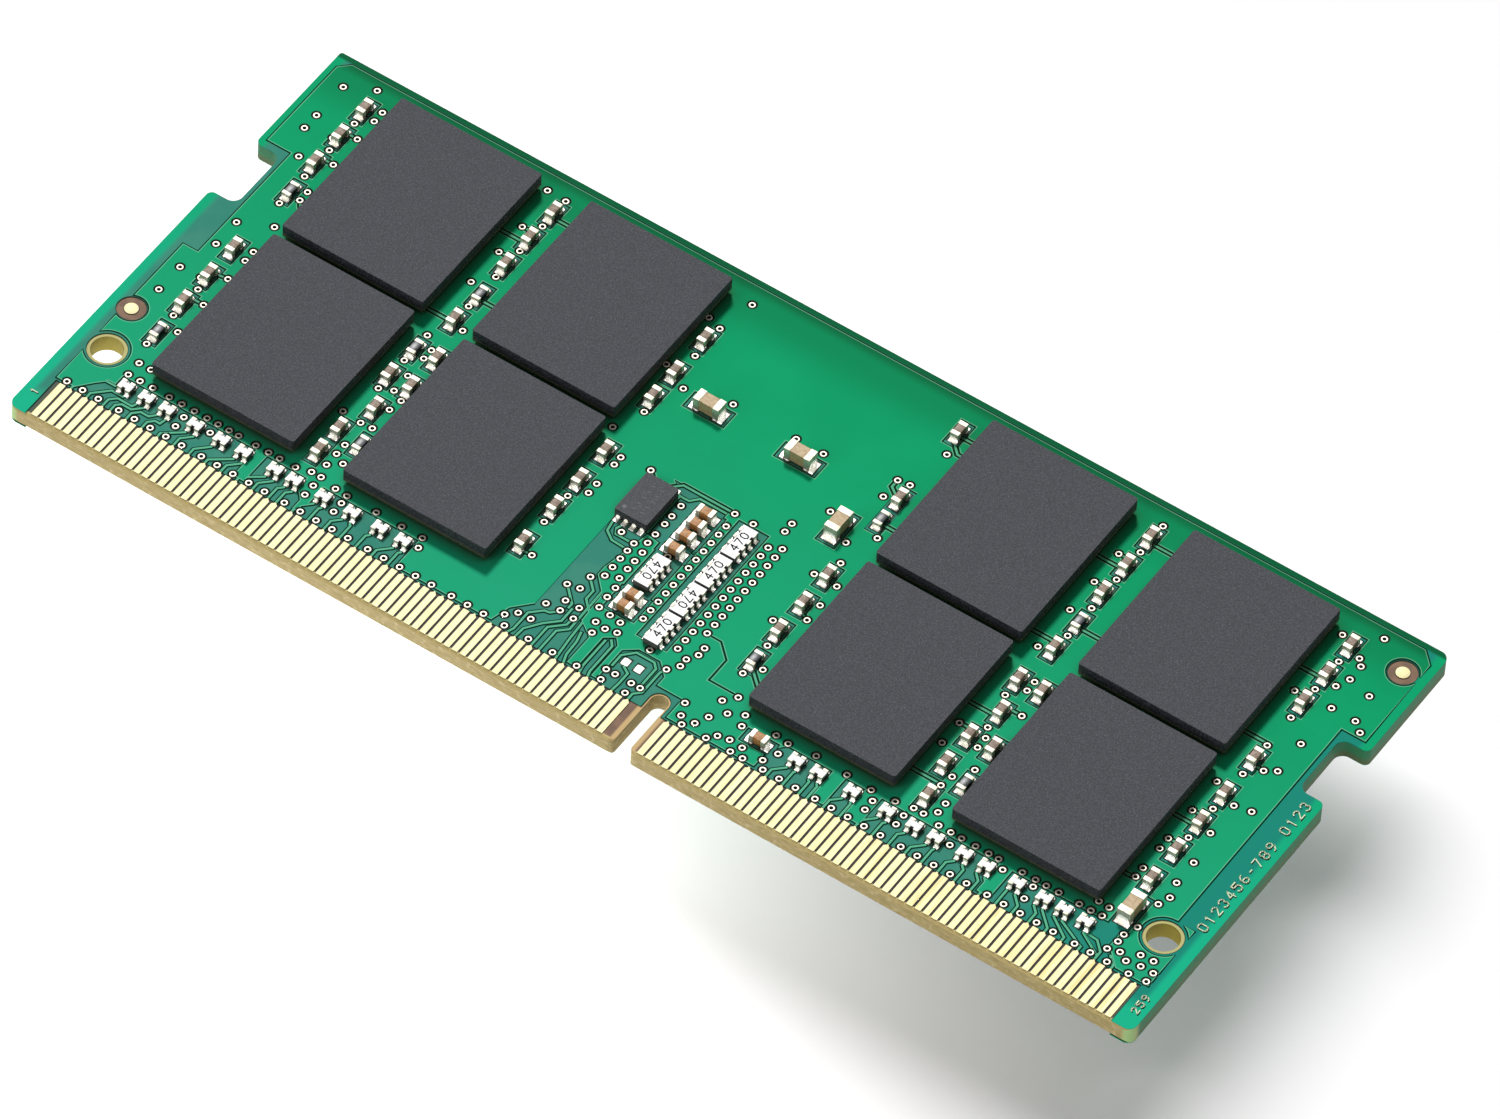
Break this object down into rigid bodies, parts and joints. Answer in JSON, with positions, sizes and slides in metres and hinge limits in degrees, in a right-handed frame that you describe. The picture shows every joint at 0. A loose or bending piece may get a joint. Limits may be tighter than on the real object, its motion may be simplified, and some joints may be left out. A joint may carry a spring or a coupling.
{
  "type": "memory module",
  "caption": "Small-outline memory module: green circuit card with gold edge contacts, memory chips on both faces, key notch and side latch notches.",
  "frame": {"origin": "under the middle of the card's outline, on the plane of the tops of the back face's chips", "axes": "+X along the contact edge towards the highest-numbered contacts, +Y from the contact edge to the top edge, +Z out of the front face"},
  "size_m": [0.0696, 0.03, 0.0034],
  "materials": {
    "laminate": "glass-fibre laminate, milled edges",
    "copper": "etched copper under the mask",
    "solder_mask": "satin green photo-imaged mask",
    "contact_gold": "gold plated, smooth",
    "solder_finish": "plated ring",
    "legend_ink": "printed numerals",
    "chip_mould": "fine grained epoxy mould compound",
    "chip_substrate": "dark laminate",
    "silicon": "silicon die",
    "solder": "reflowed solder",
    "tinned_terminal": "tin plated",
    "capacitor_ceramic": "fired ceramic, taupe",
    "supply_ceramic": "fired ceramic, brown",
    "bulk_ceramic": "fired ceramic, tan",
    "resistor_coat": "black overcoat on alumina",
    "white_ceramic": "white alumina",
    "eeprom_mould": "epoxy mould compound"
  },
  "bodies": {
    "root": {"bulk_capacitor_bodies_back": "bulk_ceramic", "bulk_capacitor_bodies_front": "bulk_ceramic", "bulk_capacitor_terminals_back": "tinned_terminal", "bulk_capacitor_terminals_front": "tinned_terminal", "contacts_left_back": "contact_gold", "contacts_left_front": "contact_gold", "contacts_right_back": "contact_gold", "contacts_right_front": "contact_gold", "copper_layer_back": "copper", "copper_layer_front": "copper", "decoupling_capacitor_bodies_back": "capacitor_ceramic", "decoupling_capacitor_bodies_front": "capacitor_ceramic", "decoupling_capacitor_terminals_back": "tinned_terminal", "decoupling_capacitor_terminals_front": "tinned_terminal", "dram_dies_back": "silicon", "dram_dies_front": "silicon", "dram_mould_1_back": "chip_mould", "dram_mould_1_front": "chip_mould", "dram_mould_2_back": "chip_mould", "dram_mould_2_front": "chip_mould", "dram_mould_3_back": "chip_mould", "dram_mould_3_front": "chip_mould", "dram_mould_4_back": "chip_mould", "dram_mould_4_front": "chip_mould", "dram_mould_5_back": "chip_mould", "dram_mould_5_front": "chip_mould", "dram_mould_6_back": "chip_mould", "dram_mould_6_front": "chip_mould", "dram_mould_7_back": "chip_mould", "dram_mould_7_front": "chip_mould", "dram_mould_8_back": "chip_mould", "dram_mould_8_front": "chip_mould", "dram_solder_balls_back": "solder", "dram_solder_balls_front": "solder", "dram_substrates_back": "chip_substrate", "dram_substrates_front": "chip_substrate", "eeprom_body_front": "eeprom_mould", "eeprom_leads_front": "tinned_terminal", "fiducials": "contact_gold", "legend": "legend_ink", "pcb_laminate": "laminate", "reference_resistor_bodies_back": "resistor_coat", "reference_resistor_bodies_front": "resistor_coat", "reference_resistor_terminals_back": "tinned_terminal", "reference_resistor_terminals_front": "tinned_terminal", "series_array_bodies_back": "white_ceramic", "series_array_bodies_front": "white_ceramic", "series_array_terminals_back": "tinned_terminal", "series_array_terminals_front": "tinned_terminal", "solder_joints_back": "solder", "solder_joints_front": "solder", "solder_mask_back": "solder_mask", "solder_mask_front": "solder_mask", "supply_capacitor_bodies_front": "supply_ceramic", "supply_capacitor_terminals_front": "tinned_terminal", "termination_network_bodies_front": "white_ceramic", "termination_network_terminals_front": "tinned_terminal", "via_rings_back": "solder_finish", "via_rings_front": "solder_finish"}
  },
  "joints": []
}
